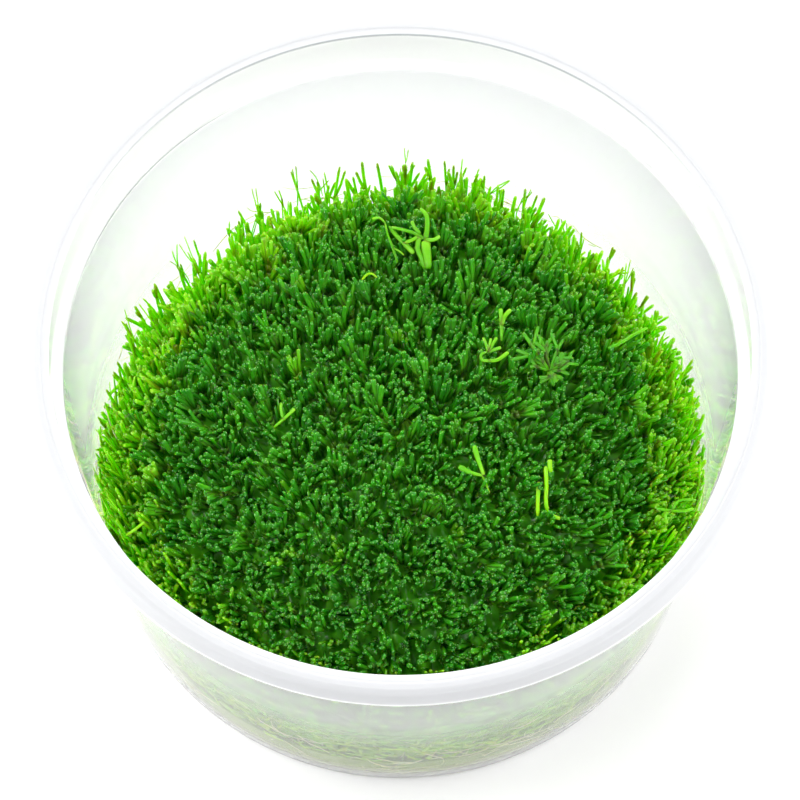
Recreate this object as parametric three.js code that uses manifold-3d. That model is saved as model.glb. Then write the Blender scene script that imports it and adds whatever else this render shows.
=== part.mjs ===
// Potted crystalwort: an open round culture cup, a disc of nutrient gel in its foot, a cushion of
// crystalwort that grew on the gel in clumps, and a few paler thalli lying loose on the cushion.
// Millimetres, +Z up, origin at the middle of the cup's foot. The cup's front is towards -Y.
import * as THREE from 'three';
import { ConvexHull } from 'three/addons/math/ConvexHull.js';
import { mergeVertices } from 'three/addons/utils/BufferGeometryUtils.js';
import Module from 'manifold-3d';

const wasm = await Module();
wasm.setup();

// The cup
const CUP_HEIGHT = 57;
const WALL = 0.8; // thickness of the moulded wall
const RIM_RADIUS = 50; // lower edge of the skirt, the widest part
const SKIRT_DROP = 2.7; // from the top of the lip to the skirt's lower edge
const LIP_INNER_RADIUS = 46.5;
const LIP_OUTER_RADIUS = 48.7;
const LEDGE_Z = 50; // where the tapered wall steps out to carry a lid
const LEDGE_RADIUS = 45.25; // inner edge of the ledge
const CORNER = 1.6; // outer radius of the rounded corner round the foot
const WALL_FOOT_RADIUS = 42.8; // outside of the wall at the top of that corner
const FOOT_INNER_RADIUS = 38; // inner edge of the foot ring
const PANEL_RISE = 1; // the base inside the foot ring is raised by this much
const AROUND = 48; // facets round the cup

// What stands in it
const GAP = 0.3; // between pieces that touch
const GEL_TOP = 7.5;
const CLUMP_BASE = GEL_TOP + GAP;
const CLUMP_COUNT = 19;
const CLUMP_GAP = 0.4; // between neighbouring clumps
const MARGIN_TIP_Z = 26.5; // tips beside the wall
const DOME_TIP_Z = 35; // tips in the middle of the cushion
const SPRIG_LENGTH = 5; // how far a sprig of lobes stands out of the cushion
const SPRIG_SPACING = 3.55;
const SPRIG_SHARE = [0.75, 1]; // shortest and longest sprig, as shares of that length
const BORDER_SHARE = [0.45, 0.65]; // the same for sprigs between two clumps
const FORKED = 0.2; // share of neighbouring sprigs that are joined in a fork
const FORK_DEPTH = 0.45; // depth of the notch in a fork, as a share of the sprig
const LEAN = 0.5; // sideways lean of a sprig beside the wall, for each mm of its height
const WANDER = 0.3; // the same in any direction, by chance
const REFERENCE_Z = 26; // the clumps are laid out on a disc at this height
// Where the cushion stands back from the wall: direction and spread in degrees, and by how much
const STAND_BACK = [
  { towards: 38, spread: 32, by: 2.6 },
  { towards: 130, spread: 34, by: 1.5 },
];

const GOLDEN_ANGLE = Math.PI * (3 - Math.sqrt(5));

const outerWall = (z) => {
  const top = LEDGE_RADIUS + WALL;
  return WALL_FOOT_RADIUS + ((top - WALL_FOOT_RADIUS) * (z - CORNER)) / (LEDGE_Z - CORNER);
};
const innerWall = (z) => outerWall(z) - WALL;

const solidOf = (geometry) => {
  const bare = geometry.index ? geometry.toNonIndexed() : geometry.clone();
  bare.deleteAttribute('uv');
  bare.deleteAttribute('normal');
  const merged = mergeVertices(bare, 1e-4);
  return new wasm.Manifold(
    new wasm.Mesh({
      numProp: 3,
      vertProperties: new Float32Array(merged.attributes.position.array),
      triVerts: new Uint32Array(merged.index.array),
    }),
  );
};

const geometryOf = (solid) => {
  const mesh = solid.getMesh();
  const geometry = new THREE.BufferGeometry();
  geometry.setAttribute('position', new THREE.BufferAttribute(mesh.vertProperties, 3));
  geometry.setIndex(new THREE.BufferAttribute(mesh.triVerts, 1));
  geometry.computeVertexNormals();
  return geometry;
};

// The same number for the same seed, from 0 to 1
const chance = (seed) => {
  const value = Math.sin(seed * 127.1 + 311.7) * 43758.5453;
  return value - Math.floor(value);
};

// A closed profile of radius and height, spun round the cup's axis
const spin = (profile) => {
  const geometry = new THREE.LatheGeometry(profile.getPoints(2), AROUND);
  geometry.rotateX(Math.PI / 2);
  return geometry;
};

const cupProfile = () => {
  const cornerRadius = WALL_FOOT_RADIUS - CORNER;
  const lipUnder = CUP_HEIGHT - WALL - GAP;
  const profile = new THREE.Path();
  profile.moveTo(0, PANEL_RISE);
  profile.lineTo(FOOT_INNER_RADIUS - PANEL_RISE, PANEL_RISE);
  profile.lineTo(FOOT_INNER_RADIUS, 0);
  profile.lineTo(cornerRadius, 0);
  profile.absarc(cornerRadius, CORNER, CORNER, -Math.PI / 2, 0, false);
  // up the outside to the lip
  profile.lineTo(outerWall(LEDGE_Z - WALL), LEDGE_Z - WALL);
  profile.lineTo(LEDGE_RADIUS + 2 * WALL, LEDGE_Z);
  profile.lineTo(LIP_INNER_RADIUS + WALL, lipUnder);
  // under the lip and round the skirt
  profile.lineTo(LIP_OUTER_RADIUS - WALL / 2, lipUnder);
  profile.lineTo(RIM_RADIUS - WALL, CUP_HEIGHT - SKIRT_DROP);
  profile.lineTo(RIM_RADIUS, CUP_HEIGHT - SKIRT_DROP);
  profile.lineTo(LIP_OUTER_RADIUS + WALL / 2, CUP_HEIGHT - WALL);
  profile.lineTo(LIP_OUTER_RADIUS - WALL / 2, CUP_HEIGHT);
  profile.lineTo(LIP_INNER_RADIUS + WALL / 2, CUP_HEIGHT);
  profile.lineTo(LIP_INNER_RADIUS, CUP_HEIGHT - WALL / 2);
  // down the inside, over the ledge, to the floor
  profile.lineTo(LEDGE_RADIUS + WALL, LEDGE_Z + GAP);
  profile.lineTo(LEDGE_RADIUS, LEDGE_Z);
  profile.lineTo(innerWall(CORNER), CORNER);
  profile.absarc(cornerRadius, CORNER, CORNER - WALL, 0, -Math.PI / 2, true);
  profile.lineTo(FOOT_INNER_RADIUS + WALL / 2, WALL);
  profile.lineTo(FOOT_INNER_RADIUS - WALL / 2, PANEL_RISE + WALL);
  profile.lineTo(0, PANEL_RISE + WALL);
  return profile;
};

// The gel fills the foot of the cup, a gap clear of it all round
const gelProfile = () => {
  const cornerRadius = WALL_FOOT_RADIUS - CORNER;
  const floor = PANEL_RISE + WALL + GAP;
  const profile = new THREE.Path();
  profile.moveTo(0, floor);
  profile.lineTo(FOOT_INNER_RADIUS - WALL / 2, floor);
  profile.lineTo(FOOT_INNER_RADIUS + WALL / 2, WALL + GAP);
  profile.lineTo(cornerRadius, WALL + GAP);
  profile.absarc(cornerRadius, CORNER, CORNER - WALL - GAP, -Math.PI / 2, 0, false);
  profile.lineTo(innerWall(GEL_TOP) - GAP, GEL_TOP);
  profile.lineTo(0, GEL_TOP);
  return profile;
};

// Everything above the gel widens with the wall: a point keeps its place on the reference disc
const referenceRadius = innerWall(REFERENCE_Z) - GAP;
const widen = (x, y, z) => {
  const scale = (innerWall(z) - GAP) / referenceRadius;
  return new THREE.Vector3(x * scale, y * scale, z);
};

// Points spread evenly over a disc, as seeds are in a sunflower
const sunflower = (index, spacing) => {
  const radius = spacing * Math.sqrt(index + 0.5);
  const angle = index * GOLDEN_ANGLE;
  return new THREE.Vector2(radius * Math.cos(angle), radius * Math.sin(angle));
};

const clumpSpacing = referenceRadius / Math.sqrt(CLUMP_COUNT);
const seeds = Array.from({ length: CLUMP_COUNT }, (_, i) => sunflower(i, clumpSpacing));

// The height of the tips: a dome with low, broad lumps
const tipHeight = (x, y) => {
  const outwards = Math.hypot(x, y) / referenceRadius;
  const dome = DOME_TIP_Z - (DOME_TIP_Z - MARGIN_TIP_Z) * outwards ** 2.2;
  const lumps = Math.sin(0.21 * x + 1.3) * Math.cos(0.19 * y - 0.4) + Math.sin(0.13 * (x - y));
  return dome + 0.6 * lumps * (1 - outwards ** 4);
};

const cutByLine = (polygon, point, normal) => {
  const side = (p) => (p.x - point.x) * normal.x + (p.y - point.y) * normal.y;
  return polygon.flatMap((p, i) => {
    const next = polygon[(i + 1) % polygon.length];
    const [here, there] = [side(p), side(next)];
    const crossing = here > 0 !== there > 0 ? [p.clone().lerp(next, here / (here - there))] : [];
    return here > 0 ? crossing : [p, ...crossing];
  });
};

// The cushion's outline on the reference disc
const outlineRadius = (angle) => {
  const backs = STAND_BACK.map(({ towards, spread, by }) => {
    const away = THREE.MathUtils.radToDeg(angle) - towards;
    return by * Math.exp(-((away / spread) ** 2));
  });
  return referenceRadius - backs.reduce((sum, back) => sum + back);
};

// The part of the disc that is nearer to this clump's seed than to any other, counterclockwise
const cellOf = (index) => {
  let cell = Array.from({ length: AROUND }, (_, i) => {
    const angle = (i / AROUND) * 2 * Math.PI - Math.PI;
    return new THREE.Vector2(Math.cos(angle), Math.sin(angle)).multiplyScalar(outlineRadius(angle));
  });
  seeds.forEach((other, i) => {
    if (i === index) return;
    const normal = other.clone().sub(seeds[index]).normalize();
    const middle = other.clone().add(seeds[index]).multiplyScalar(0.5);
    cell = cutByLine(cell, middle.addScaledVector(normal, -CLUMP_GAP / 2), normal);
  });
  return cell.filter((p, i) => p.distanceTo(cell[(i + 1) % cell.length]) > GAP);
};

const insideBy = (cell, p) =>
  Math.min(
    ...cell.map((a, i) => {
      const along = cell[(i + 1) % cell.length].clone().sub(a).normalize();
      return along.cross(p.clone().sub(a));
    }),
  );

// Triangles between scattered points: the underside of their hull once lifted to a bowl
const triangulate = (points) => {
  const lifted = points.map((p) => new THREE.Vector3(p.x, p.y, p.lengthSq() / referenceRadius));
  const hull = new ConvexHull().setFromPoints(lifted);
  return hull.faces
    .filter((face) => face.normal.z < -1e-6)
    .map((face) => [2, 1, 0].map((corner) => lifted.indexOf(face.getEdge(corner).head().point)));
};

// One clump: a column on the gel whose top stands up in sprigs, some of them joined in forks
const clumpGeometry = (index) => {
  const cell = cellOf(index);
  const border = cell.flatMap((a, i) => {
    const b = cell[(i + 1) % cell.length];
    const steps = Math.max(1, Math.round(a.distanceTo(b) / SPRIG_SPACING));
    return Array.from({ length: steps }, (_, k) => a.clone().lerp(b, k / steps));
  });
  const sprigs = [];
  const sprigPitch = SPRIG_SPACING * 0.525; // gives neighbours about one spacing apart
  for (let n = 0; n * sprigPitch ** 2 < referenceRadius ** 2; n += 1) {
    const p = sunflower(n, sprigPitch);
    if (insideBy(cell, p) > SPRIG_SPACING * 0.45) sprigs.push(p);
  }
  const points = [...border, ...sprigs];
  const corners = [];
  const triangles = [];
  const add = (vertex) => corners.push(vertex) - 1;

  const onOutline = (p) => p.length() > outlineRadius(Math.atan2(p.y, p.x)) - 2 * GAP;
  const tops = points.map((p, i) => {
    const seed = p.x * 3.7 + p.y * 9.1;
    const isSprig = i >= border.length;
    const [least, most] = isSprig || onOutline(p) ? SPRIG_SHARE : BORDER_SHARE;
    const height = SPRIG_LENGTH * THREE.MathUtils.lerp(least, most, chance(seed));
    const z = tipHeight(p.x, p.y) - SPRIG_LENGTH + height;
    const place = p.clone();
    if (isSprig) {
      const wander = new THREE.Vector2(chance(seed + 1) - 0.5, chance(seed + 2) - 0.5);
      const lean = p.clone().multiplyScalar(LEAN / referenceRadius).addScaledVector(wander, WANDER);
      let reach = height;
      while (insideBy(cell, place.copy(p).addScaledVector(lean, reach)) < GAP) reach *= 0.7;
    }
    return add(widen(place.x, place.y, z));
  });

  // A low point half-way between neighbours parts them; a high one joins them in a fork
  const valleys = new Map();
  const valley = (a, b) => {
    const key = Math.min(a, b) * points.length + Math.max(a, b);
    if (!valleys.has(key)) {
      const p = points[a].clone().lerp(points[b], 0.5);
      const forked = Math.max(a, b) >= border.length && chance(p.x * 5.3 + p.y * 2.9) < FORKED;
      const z = tipHeight(p.x, p.y) - SPRIG_LENGTH * (forked ? FORK_DEPTH : 1);
      valleys.set(key, add(widen(p.x, p.y, z)));
    }
    return valleys.get(key);
  };
  triangulate(points).forEach(([a, b, c]) => {
    const [ab, bc, ca] = [valley(a, b), valley(b, c), valley(c, a)];
    triangles.push(tops[a], ab, ca, tops[b], bc, ab, tops[c], ca, bc, ab, bc, ca);
  });

  const feet = border.map((p) => add(widen(p.x, p.y, CLUMP_BASE)));
  const middle = add(widen(seeds[index].x, seeds[index].y, CLUMP_BASE));
  border.forEach((_, i) => {
    const next = (i + 1) % border.length;
    const dip = valley(i, next);
    triangles.push(feet[i], feet[next], dip, feet[i], dip, tops[i], feet[next], tops[next], dip);
    triangles.push(feet[next], feet[i], middle);
  });

  const geometry = new THREE.BufferGeometry().setFromPoints(corners);
  geometry.setIndex(triangles);
  geometry.computeVertexNormals();
  return geometry;
};

// One arm of a thallus: a flat strap with a blunt point at each end
const armGeometry = (from, to, width) => {
  const start = new THREE.Vector3(...from);
  const along = new THREE.Vector3(...to).sub(start);
  const length = along.length();
  const half = width / 2;
  const profile = [
    new THREE.Vector2(0, -half),
    new THREE.Vector2(half * 0.8, 0),
    new THREE.Vector2(half, length - half),
    new THREE.Vector2(0, length),
  ];
  const geometry = new THREE.LatheGeometry(profile, 6);
  geometry.scale(1, 1, 0.6);
  const yAxis = along.clone().normalize();
  const xAxis = new THREE.Vector3(-yAxis.y, yAxis.x, 0).normalize();
  const zAxis = new THREE.Vector3().crossVectors(xAxis, yAxis);
  geometry.applyMatrix4(new THREE.Matrix4().makeBasis(xAxis, yAxis, zAxis));
  geometry.translate(start.x, start.y, start.z);
  return geometry;
};

// The loose thalli. Each arm is [from, to, width], with x, y and the height over the tips
const STRAYS = [
  [
    [[3.8, 23.2, 0.7], [3.5, 26.6, 1.4], 1.5],
    [[3.5, 26.6, 1.4], [3.7, 30.0, 2.6], 1.2],
    [[3.5, 26.6, 1.4], [5.5, 26.5, 2.2], 1.2],
    [[3.5, 26.6, 1.4], [-1.2, 28.4, 1.6], 1.1],
    [[-1.4, 28.4, 1.6], [1.4, 25.0, 1.0], 1.0],
  ],
  [
    [[14.1, 10.3, 0.6], [14.1, 12.6, 1.2], 0.9],
    [[14.1, 12.6, 1.2], [14.0, 14.7, 2.0], 0.9],
    [[14.1, 12.6, 1.2], [15.3, 14.5, 1.9], 0.9],
  ],
  [
    [[12.2, 8.3, 0.8], [11.6, 10.1, 1.6], 0.8],
    [[12.2, 8.3, 0.8], [13.3, 10.1, 1.7], 0.8],
    [[12.2, 8.3, 0.8], [11.3, 7.2, 0.8], 1.0],
    [[11.3, 7.2, 0.8], [12.9, 6.9, 0.8], 1.0],
    [[12.9, 6.9, 0.8], [14.9, 8.0, 1.2], 1.0],
  ],
  [
    [[29.1, 10.3, 0.7], [32.0, 12.3, 1.2], 0.8],
    [[32.0, 12.3, 1.2], [34.7, 14.2, 1.6], 0.7],
  ],
  [
    [[8.2, -9.5, 0.9], [10.6, -10.3, 1.1], 1.2],
    [[10.6, -10.3, 1.1], [12.1, -12.6, 0.7], 0.7],
  ],
  [
    [[-17.5, -2.5, 0.6], [-15.9, -1.2, 1.1], 0.7],
    [[-15.9, -1.2, 1.1], [-14.6, -0.1, 1.5], 0.8],
    [[-15.9, -1.2, 1.1], [-16.4, 0.7, 1.6], 0.7],
  ],
  [
    [[35.2, -12.8, 0.9], [38.2, -13.0, 1.1], 0.7],
    [[38.2, -13.0, 1.1], [40.4, -12.5, 1.3], 0.6],
  ],
];

const strayGeometry = (arms) => {
  const lift = ([x, y, over]) => [x, y, tipHeight(x, y) + over];
  const solids = arms.map(([from, to, width]) => solidOf(armGeometry(lift(from), lift(to), width)));
  return geometryOf(solids.reduce((joined, solid) => joined.add(solid)));
};

const cupPlastic = new THREE.MeshStandardMaterial({
  color: '#eef1ef',
  roughness: 0.35,
  metalness: 0,
  transparent: true,
  opacity: 0.45,
});
const gel = new THREE.MeshStandardMaterial({ color: '#d9ddc4', roughness: 0.2, metalness: 0 });
const lobes = new THREE.MeshStandardMaterial({ color: '#2c8418', roughness: 0.45, metalness: 0 });
const paleLobes = new THREE.MeshStandardMaterial({ color: '#8fe01c', roughness: 0.4, metalness: 0 });

const pottedCrystalwort = new THREE.Group();
const place = (name, geometry, material) => {
  const mesh = new THREE.Mesh(geometry, material);
  mesh.name = name;
  pottedCrystalwort.add(mesh);
};

place('cup', spin(cupProfile()), cupPlastic);
place('growing_gel', spin(gelProfile()), gel);
seeds.forEach((_, i) => {
  place(`crystalwort_clump_${String(i + 1).padStart(2, '0')}`, clumpGeometry(i), lobes);
});
STRAYS.forEach((arms, i) => place(`stray_thallus_${i + 1}`, strayGeometry(arms), paleLobes));

export default pottedCrystalwort;
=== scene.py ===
import math

import bpy
import numpy as np
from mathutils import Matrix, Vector


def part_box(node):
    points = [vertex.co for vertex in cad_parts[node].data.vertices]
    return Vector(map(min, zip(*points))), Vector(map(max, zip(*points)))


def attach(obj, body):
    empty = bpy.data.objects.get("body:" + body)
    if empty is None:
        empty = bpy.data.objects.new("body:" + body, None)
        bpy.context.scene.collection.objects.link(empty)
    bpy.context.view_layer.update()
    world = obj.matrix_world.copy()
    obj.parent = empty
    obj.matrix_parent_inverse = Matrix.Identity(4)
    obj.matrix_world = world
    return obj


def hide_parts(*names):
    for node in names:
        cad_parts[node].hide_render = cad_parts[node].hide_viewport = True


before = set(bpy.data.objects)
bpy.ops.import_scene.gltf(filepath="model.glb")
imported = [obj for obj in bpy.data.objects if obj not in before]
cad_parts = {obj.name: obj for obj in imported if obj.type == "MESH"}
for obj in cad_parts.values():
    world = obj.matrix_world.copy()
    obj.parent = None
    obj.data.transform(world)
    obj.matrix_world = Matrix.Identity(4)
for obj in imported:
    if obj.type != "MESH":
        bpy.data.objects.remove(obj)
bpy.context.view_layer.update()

draw = np.random.default_rng(41)
MM = 0.001

# The cup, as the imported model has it
CUP_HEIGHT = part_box("cup")[1].z / MM
RIM_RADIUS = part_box("cup")[1].x / MM
WALL = 0.8
SKIRT_DROP = 2.7
SKIRT_Z = CUP_HEIGHT - SKIRT_DROP
LIP_INNER_RADIUS = 46.5
LIP_OUTER_RADIUS = 48.7
LIP_THICKNESS = 1.1
LIP_STEP = 0.12  # the inner half of the lip lies this much lower
LIP_STEP_RADIUS = 47.5
LEDGE_Z = 50.0
LEDGE_RADIUS = 45.25
CORNER = 1.6
WALL_FOOT_RADIUS = 42.8
FOOT_INNER_RADIUS = 38.0
PANEL_RISE = 1.0
CUP_FACETS = 180  # round the cup

# What stands in it
GEL_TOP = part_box("growing_gel")[1].z / MM
GEL_FACETS = 120
CLOUD_SIZE = 5.56  # from one cloud in the gel to the next
CLUMPS = sorted(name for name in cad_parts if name.startswith("crystalwort_clump"))
MARGIN_TIP_Z = 26.5
DOME_TIP_Z = 35.0
LUMP_HEIGHT = 0.6
REFERENCE_Z = 26.0
STAND_BACK = ((38, 32, 2.6), (130, 34, 1.5))  # degrees towards, degrees of spread, mm back
GAP = 0.3
GOLDEN_ANGLE = math.pi * (3 - math.sqrt(5))

# The lobes
THALLUS_SPACING = 1.15  # of the sunflower that the thalli stand in
CROWN_HEIGHT = 6.6  # from a thallus's first fork to its tips
FORKS = ((0.2, 7.5, 20), (0.2, 6.0, 30))  # share of the crown, degrees to a side, degrees of twist
LAST_FORK = 5.0  # degrees to a side
LOBE_HALF_WIDTH = 0.33
LOBE_HALF_THICKNESS = 0.25
TIP_NOTCH = 0.12  # how far the middle of a tip is sunk
DEEPEST_GREEN = 17  # mm below the tips from which tissue against the wall gets no paler
STRAW_DEPTH = 20.0  # mm below the tips where tissue is straw-coloured
EDGE_FROM = 0.86  # how far out crowns get longer and stalks are seen, as a share
LIME_FROM = 0.855  # how far out the thalli turn lime, as a share of the outline
# Painted light and shade: the lime begins further in at the back left and further out at the front,
# where the lip shades the margin.
LIME_LIGHT_AND_SHADE_SHIFTS = ((135, 36, -0.11), (270, 60, 0.06))  # degrees, spread, share
SIDE_FALL = 5.5  # mm that the mass of thalli stands lower at the wall than its blades
FALL_SHIFTS = ((115, 60, 6.5), (270, 50, -4.0))  # degrees, spread, mm
MAT_DEPTH = 6.2  # mm that the mat of old growth lies below the tips
MAT_INSET = 2.8  # mm that it stands back from the outline
WALL_LOBES = 1900
RHIZOIDS = 300

# Thalli that are drawn one by one: half width at the start and the end, and points (x, y, height
# over the tips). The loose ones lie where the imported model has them.
LOOSE_THALLI = {
    "stray_thallus_1": [
        (0.5, 0.75, [(3.9, 22.4, 0.5), (3.8, 23.8, 1.0), (3.5, 26.4, 1.6)]),
        (0.3, 0.4, [(3.4, 22.4, 0.5), (3.0, 23.6, 1.0), (2.4, 25.3, 1.4), (2.7, 27.0, 1.7)]),
        (0.4, 0.26, [(3.5, 26.2, 1.6), (3.8, 28.4, 2.1), (3.7, 30.1, 2.6), (2.8, 31.2, 2.8)]),
        (0.34, 0.3, [(3.4, 26.5, 1.7), (4.7, 26.4, 2.0), (5.6, 26.8, 2.5)]),
        (0.3, 0.22, [(3.4, 26.6, 1.7), (2.0, 27.4, 1.9), (0.4, 27.8, 2.1), (-1.3, 28.4, 1.8)]),
        (0.3, 0.26, [(2.6, 27.0, 1.8), (1.6, 26.4, 1.6), (0.4, 26.1, 1.3)]),
        (0.3, 0.26, [(2.8, 27.4, 1.8), (2.0, 28.3, 2.0), (1.6, 29.2, 2.4)]),
        (0.28, 0.42, [(-1.6, 28.6, 1.6), (-0.5, 27.1, 1.4), (0.5, 26.1, 1.2), (1.9, 24.6, 0.9)]),
        (0.2, 0.13, [(-0.4, 23.2, 0.5), (-1.2, 25.6, 1.2), (-1.8, 27.2, 1.6), (-2.2, 29.0, 2.1)]),
        (0.16, 0.24, [(-2.2, 29.0, 2.1), (-3.0, 29.8, 2.2), (-4.0, 29.7, 2.1)]),
        (0.13, 0.13, [(-1.1, 25.3, 1.1), (-0.1, 24.7, 1.2), (0.5, 24.2, 1.0)]),
    ],
    "stray_thallus_2": [
        (0.22, 0.34, [(14.1, 10.3, 0.5), (14.1, 12.6, 1.2), (14.0, 14.8, 1.9)]),
        (0.3, 0.32, [(14.1, 12.4, 1.2), (14.5, 13.6, 1.6), (15.4, 14.7, 1.9)]),
    ],
    "stray_thallus_3": [
        (0.22, 0.22, [(12.2, 8.2, 1.0), (11.9, 9.3, 1.4), (11.5, 10.2, 1.7)]),
        (0.2, 0.2, [(12.2, 8.2, 1.0), (12.4, 9.2, 1.4), (12.6, 10.1, 1.7)]),
        (0.22, 0.24, [(12.2, 8.2, 1.0), (12.9, 9.4, 1.5), (13.4, 10.2, 1.8)]),
        (0.24, 0.28, [(12.2, 8.2, 1.0), (13.1, 8.6, 1.2), (14.0, 8.8, 1.5)]),
        (0.2, 0.26, [(12.2, 8.4, 1.0), (11.2, 7.8, 1.0), (11.4, 7.0, 0.9), (12.5, 6.9, 1.0)]),
        (0.26, 0.32, [(12.2, 7.0, 1.0), (13.4, 7.0, 1.1), (15.0, 8.1, 1.5)]),
    ],
    "stray_thallus_4": [
        (0.3, 0.2, [(29.1, 10.3, 0.9), (31.0, 11.4, 1.2), (32.6, 12.7, 1.5), (34.8, 14.2, 1.8)]),
    ],
    "stray_thallus_5": [
        (0.46, 0.14, [(8.0, -9.3, 1.3), (9.0, -9.9, 1.3), (10.0, -10.3, 1.4), (11.2, -10.5, 1.3)]),
        (0.14, 0.14, [(11.1, -10.4, 1.3), (11.6, -11.3, 1.0), (12.2, -12.7, 0.6)]),
        (0.4, 0.22, [(10.1, -6.4, 1.6), (10.5, -7.8, 1.3), (10.9, -8.9, 1.1), (11.4, -10.4, 1.2)]),
    ],
    "stray_thallus_6": [
        (0.2, 0.26, [(-17.5, -2.5, 0.8), (-15.9, -1.2, 1.2), (-14.6, -0.1, 1.6)]),
        (0.2, 0.22, [(-16.2, -1.5, 1.1), (-16.5, -0.2, 1.5), (-16.5, 0.8, 1.7)]),
    ],
    "stray_thallus_7": [
        (0.2, 0.24, [(35.2, -12.8, 1.0), (37.2, -13.1, 1.3), (39.2, -12.9, 1.4), (40.6, -12.4, 1.5)]),
        (0.2, 0.2, [(37.4, -13.0, 1.3), (36.6, -13.8, 1.2), (36.8, -14.9, 1.0)]),
        (0.2, 0.22, [(37.6, -13.0, 1.3), (38.3, -11.7, 1.4), (39.6, -11.3, 1.6), (41.0, -11.2, 1.6)]),
    ],
}
ROSETTE_HEART = (20.7, 6.0, 0.6)  # a tuft of broad, forked lobes that opens like a rosette
ROSETTE_TIPS = [
    (0.34, (20.4, 10.0, 1.9)),
    (0.28, (19.5, 9.3, 1.9)),
    (0.26, (19.2, 10.9, 1.8)),
    (0.28, (17.1, 11.2, 1.5)),
    (0.24, (18.1, 9.6, 1.7)),
    (0.3, (16.1, 8.6, 1.2)),
    (0.28, (18.8, 7.6, 1.6)),
    (0.3, (18.0, 6.2, 1.2)),
    (0.24, (22.7, 10.4, 1.8)),
    (0.26, (23.0, 8.4, 1.7)),
    (0.42, (23.4, 7.4, 1.5)),
    (0.26, (22.3, 6.9, 1.8)),
    (0.32, (23.4, 5.4, 1.2)),
    (0.26, (24.8, 7.0, 1.2)),
    (0.34, (19.4, 4.0, 1.0)),
    (0.3, (21.3, 3.6, 0.9)),
    (0.34, (22.5, 4.6, 1.2)),
]
YOUNG_THALLI = [
    (0.26, 0.3, [(18.8, -15.3, 0.3), (18.8, -13.4, 1.1), (18.9, -11.1, 1.9)]),
    (0.28, 0.3, [(20.2, -14.6, 0.3), (19.9, -13.3, 1.0), (20.0, -11.4, 1.6), (19.9, -8.9, 2.2)]),
    (0.3, 0.34, [(20.6, -9.4, 1.6), (20.5, -8.6, 1.9), (20.5, -7.8, 2.1)]),
    (0.24, 0.3, [(20.2, -14.9, 0.8), (20.9, -15.3, 0.9), (21.9, -15.6, 1.0)]),
    (0.18, 0.18, [(-5.5, 19.8, 0.8), (-4.8, 20.6, 1.2), (-4.1, 20.9, 1.2), (-3.3, 20.5, 0.8)]),
    (0.2, 0.24, [(-37.8, -16.3, 0.8), (-36.6, -15.8, 1.2), (-35.3, -15.0, 1.5)]),
]


def inner_wall(z):
    """Radius of the inside of the cup's tapered wall at a height."""
    foot = WALL_FOOT_RADIUS - WALL
    return foot + (LEDGE_RADIUS - foot) * (z - CORNER) / (LEDGE_Z - CORNER)


REFERENCE_RADIUS = inner_wall(REFERENCE_Z) - GAP


def tip_height(x, y):
    """Height of the cushion's tips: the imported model's dome with low, broad lumps."""
    outwards = np.hypot(x, y) / REFERENCE_RADIUS
    dome = DOME_TIP_Z - (DOME_TIP_Z - MARGIN_TIP_Z) * outwards**2.2
    lumps = np.sin(0.21 * x + 1.3) * np.cos(0.19 * y - 0.4) + np.sin(0.13 * (x - y))
    return dome + LUMP_HEIGHT * lumps * (1 - outwards**4)


def bumps(angle, humps):
    """Sum of humps of (degrees towards, degrees of spread, amount) at an angle in radians."""
    total = np.zeros_like(angle)
    for towards, spread, amount in humps:
        off = (np.degrees(angle) - towards + 180) % 360 - 180
        total += amount * np.exp(-((off / spread) ** 2))
    return total


def outline_radius(angle):
    """Radius of the cushion's outline on the reference disc."""
    return REFERENCE_RADIUS - bumps(angle, STAND_BACK)


def sunflower(count, spacing):
    """Points spread evenly over a disc, as seeds are in a sunflower: (count, 2)."""
    index = np.arange(count)
    radius = spacing * np.sqrt(index + 0.5)
    angle = index * GOLDEN_ANGLE
    return np.stack([radius * np.cos(angle), radius * np.sin(angle)], axis=-1)


def ripple(x, y, wavelength, seed):
    """A smooth pattern between about -1 and 1, with lumps of about that wavelength."""
    waves = np.random.default_rng(seed)
    total = 0
    for _ in range(5):
        direction, phase = waves.uniform(0, 2 * math.pi, 2)
        pace = 2 * math.pi / (wavelength * waves.uniform(0.75, 1.35))
        total = total + np.sin(pace * (x * math.cos(direction) + y * math.sin(direction)) + phase)
    return total / 2.2


def unit(vectors):
    return vectors / np.linalg.norm(vectors, axis=-1, keepdims=True)


def dot(a, b):
    return (a * b).sum(axis=-1, keepdims=True)


# Shader nodes


def linear(hex_colour):
    """A linear colour with alpha from an sRGB hex value."""
    channels = [int(hex_colour[i : i + 2], 16) / 255 for i in (1, 3, 5)]
    return [c / 12.92 if c <= 0.04045 else ((c + 0.055) / 1.055) ** 2.4 for c in channels] + [1]


def add(material, kind, inputs=(), **settings):
    """Adds a node. inputs maps a socket's name or number to a value or to another node's output."""
    node = material.node_tree.nodes.new(kind)
    for name, value in settings.items():
        setattr(node, name, value)
    for key, value in dict(inputs).items():
        if isinstance(value, bpy.types.NodeSocket):
            material.node_tree.links.new(value, node.inputs[key])
        else:
            node.inputs[key].default_value = value
    return node


def new_material(name):
    material = bpy.data.materials.new(name)
    material.use_nodes = True
    material.node_tree.nodes.clear()
    return material


def finish_material(material, shader):
    add(material, "ShaderNodeOutputMaterial", {"Surface": shader.outputs[0]})
    return material


def ramp(material, factor, stops):
    """A ramp from (position, hex colour or number) stops."""
    node = add(material, "ShaderNodeValToRGB", {"Fac": factor})
    points = node.color_ramp.elements
    while len(points) < len(stops):
        points.new(0.5)
    for point, (position, colour) in zip(points, stops):
        point.position = position
        point.color = linear(colour) if isinstance(colour, str) else (colour, colour, colour, 1)
    return node.outputs["Color"]


def mapped(material, value, start, end, to=(0.0, 1.0)):
    """A value mapped from the span between start and end to another, and held at its ends."""
    span = {"Value": value, "From Min": start, "From Max": end, "To Min": to[0], "To Max": to[1]}
    return add(material, "ShaderNodeMapRange", span).outputs["Result"]


def rising(material, value, start, end):
    """Rises from 0 to 1 between two lengths in millimetres."""
    return mapped(material, value, start * MM, end * MM)


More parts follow.
